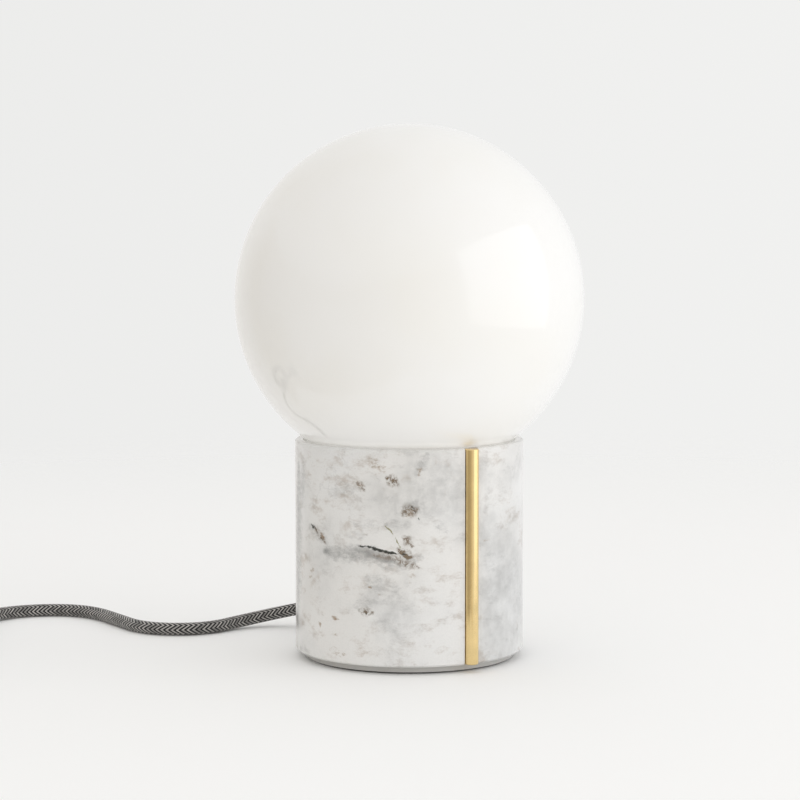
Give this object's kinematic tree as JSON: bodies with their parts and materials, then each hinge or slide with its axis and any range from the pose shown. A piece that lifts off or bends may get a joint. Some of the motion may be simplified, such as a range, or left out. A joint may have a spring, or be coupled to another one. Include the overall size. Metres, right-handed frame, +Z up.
{
  "type": "glass globe table lamp",
  "caption": "Opal glass globe resting in the open top of a white marble cylinder, with a touch dimmer worked by an inset brass bar and a braided cord.",
  "frame": {"origin": "on the table under the middle of the marble cylinder", "axes": "+Z up through the globe, -Y the front with the brass bar, +Y the back where the cord leaves"},
  "size_m": [0.4058, 0.3936, 0.3058],
  "materials": {
    "white_marble": "satin",
    "opal_glass": "gloss",
    "bulb_opal": "gloss",
    "black_glass": "gloss",
    "brass": "satin",
    "zinc_steel": "satin",
    "tinned_metal": "satin",
    "black_plastic": "matte",
    "plug_plastic": "matte",
    "white_plastic": "matte",
    "porcelain": "satin",
    "clear_silicone": "satin",
    "black_rubber": "matte",
    "felt": "matte",
    "braided_cord": "matte",
    "cord_strap": "matte",
    "wire_insulation": "gloss"
  },
  "bodies": {
    "base": {"marble_body": "white_marble", "brass_bar": "brass", "bar_studs": "brass", "screw_shell": "brass", "centre_contact": "brass", "bar_nuts": "zinc_steel", "bar_washer": "zinc_steel", "bottom_plate": "zinc_steel", "central_tube": "zinc_steel", "tube_washers": "zinc_steel", "tube_nuts": "zinc_steel", "carrier_disc": "zinc_steel", "clamp_screws": "zinc_steel", "earth_tag": "tinned_metal", "sensor_tag": "tinned_metal", "plug_pins": "tinned_metal", "plug_earth_clips": "tinned_metal", "lampholder_cap": "black_plastic", "lampholder_body": "black_plastic", "dimmer_module": "black_plastic", "bar_saddles": "black_plastic", "plug_body": "plug_plastic", "terminal_block": "white_plastic", "clamp_saddle": "white_plastic", "clamp_bar": "white_plastic", "bar_spacers": "white_plastic", "lampholder_core": "porcelain", "seat_ring": "clear_silicone", "cord_gland": "black_rubber", "plug_boot": "black_rubber", "foot_pad": "felt", "cord_free": "braided_cord", "cord_coil": "braided_cord", "cord_inner": "braided_cord", "cord_tie": "cord_strap", "cord_cores": "wire_insulation", "dimmer_leads": "wire_insulation", "lampholder_leads": "wire_insulation", "earth_wire": "wire_insulation", "sensor_wire": "wire_insulation"},
    "globe": {"glass_globe": "opal_glass"},
    "bulb_contact": {"bulb_tip": "tinned_metal"},
    "bulb": {"bulb_glass": "bulb_opal", "bulb_cap": "zinc_steel", "bulb_insulator": "black_glass"}
  },
  "joints": [
    {"name": "globe_lift", "type": "slide", "parent": "base", "child": "globe", "axis": [0, 0, 1], "range_m": [0, 0.12]},
    {"name": "bulb_rise", "type": "slide", "parent": "base", "child": "bulb_contact", "axis": [0, 0, 1], "range_m": [0, 0.0109]},
    {"name": "bulb_turn", "type": "hinge", "parent": "bulb_contact", "child": "bulb", "pos_m": [0, 0, 0.12], "axis": [0, 0, 1], "range_deg": [0, 1080]}
  ],
  "couplings": [
    {"joint": "bulb_rise", "follows": "bulb_turn", "m_per_rad": 0.00057757}
  ]
}
